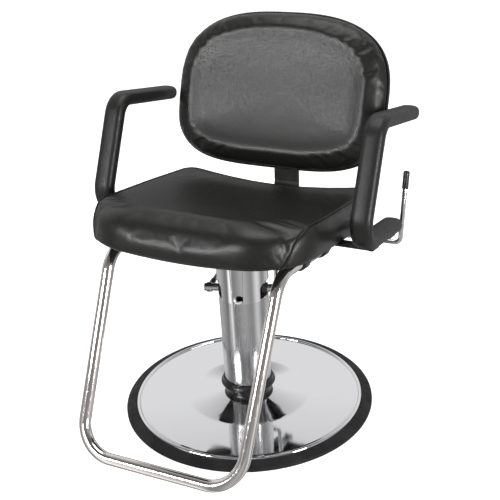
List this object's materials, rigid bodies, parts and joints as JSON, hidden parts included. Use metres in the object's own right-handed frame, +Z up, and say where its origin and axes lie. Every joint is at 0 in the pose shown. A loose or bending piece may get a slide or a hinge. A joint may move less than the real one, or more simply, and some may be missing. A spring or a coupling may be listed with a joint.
{
  "type": "styling chair",
  "caption": "Reclining salon styling chair with padded seat and back, C-shaped arms, tube footrest and hydraulic swivel column on a round chromed base.",
  "frame": {"origin": "on the floor at the axis of the column", "axes": "+Z up, -Y towards the front (the way the sitter faces), +X to the sitter's left"},
  "size_m": [0.686, 0.7997, 0.9066],
  "materials": {
    "rubber": "satin",
    "cast_plate": "matte",
    "chrome": "polished",
    "polished_tube": "polished",
    "steel": "satin",
    "bronze": "satin",
    "black_metal": "satin",
    "plywood": "matte",
    "dust_cloth": "matte",
    "vinyl": "satin",
    "shell_vinyl": "satin",
    "urethane": "satin",
    "nylon": "matte",
    "grip_vinyl": "gloss"
  },
  "bodies": {
    "base": {"base_pad": "rubber", "base_ring": "rubber", "base_weight": "cast_plate", "base_dish": "chrome", "base_bolts": "steel", "column_foot": "rubber", "column_tube": "polished_tube", "pump_cylinder": "steel", "pump_head": "cast_plate", "pump_gland": "bronze", "ram_wiper": "rubber", "pump_cover": "chrome"},
    "pump_pedal": {"pump_shaft_left": "chrome", "pump_shaft_right": "chrome", "cam_finger": "steel", "lever_sockets": "black_metal", "pump_lever": "chrome", "pedal_pad": "rubber"},
    "plunger": {"pump_plunger": "steel"},
    "lift": {"ram": "chrome", "ram_piston": "steel", "piston_seal": "rubber", "thrust_washer": "bronze"},
    "seat": {"seat_mount": "black_metal", "mount_bolts": "steel", "rail_left": "black_metal", "rail_right": "black_metal", "foot_cross": "black_metal", "arm_strap_front": "black_metal", "arm_strap_rear": "black_metal", "seat_board": "plywood", "board_bolts": "steel", "dust_cover": "dust_cloth", "seat_cushion": "vinyl", "arm_left": "urethane", "arm_right": "urethane", "arm_core_left": "steel", "arm_core_right": "steel", "arm_bolts": "steel", "footrest": "chrome", "foot_clamps": "black_metal", "clamp_screws": "steel", "foot_plugs": "rubber", "hinge_bracket": "black_metal", "hinge_pin": "steel", "pin_clips": "steel", "lock_bracket": "black_metal", "lock_tube": "steel", "lever_hangers": "black_metal"},
    "lock": {"lock_rod": "steel"},
    "back": {"back_upright": "black_metal", "hinge_bushes": "nylon", "lock_pin": "steel", "back_board": "plywood", "mounting_block": "plywood", "back_shell": "shell_vinyl", "back_cushion": "vinyl", "back_bolts": "steel"},
    "release": {"recline_lever": "chrome", "lever_grip": "grip_vinyl"}
  },
  "joints": [
    {"name": "pedal_press", "type": "hinge", "parent": "base", "child": "pump_pedal", "pos_m": [0, 0, 0.308], "axis": [-0.9511, -0.309, 0], "range_deg": [0, 20], "stiffness_Nm_per_rad": 14, "springref_deg": -20.05},
    {"name": "plunger_stroke", "type": "slide", "parent": "base", "child": "plunger", "axis": [0, 0, -1], "range_m": [0, 0.0075]},
    {"name": "seat_lift", "type": "slide", "parent": "base", "child": "lift", "axis": [0, 0, 1], "range_m": [0, 0.15]},
    {"name": "seat_swivel", "type": "hinge", "parent": "lift", "child": "seat", "pos_m": [0, 0, 0.4], "axis": [0, 0, 1], "continuous": true},
    {"name": "back_recline", "type": "hinge", "parent": "seat", "child": "back", "pos_m": [0, 0.24951, 0.39383], "axis": [-1, 0, 0], "range_deg": [0, 30]},
    {"name": "lock_slide", "type": "slide", "parent": "seat", "child": "lock", "axis": [0, -0.9863, 0.165], "range_m": [0, 0.0205]},
    {"name": "lever_pull", "type": "hinge", "parent": "seat", "child": "release", "pos_m": [0.2, 0.18572, 0.39436], "axis": [-1, 0, 0], "range_deg": [0, 25], "stiffness_Nm_per_rad": 1.2, "springref_deg": -20.05}
  ],
  "couplings": [
    {"joint": "plunger_stroke", "follows": "pedal_press", "m_per_rad": 0.02},
    {"joint": "lock_slide", "follows": "back_recline", "m_per_rad": 0.038197}
  ]
}
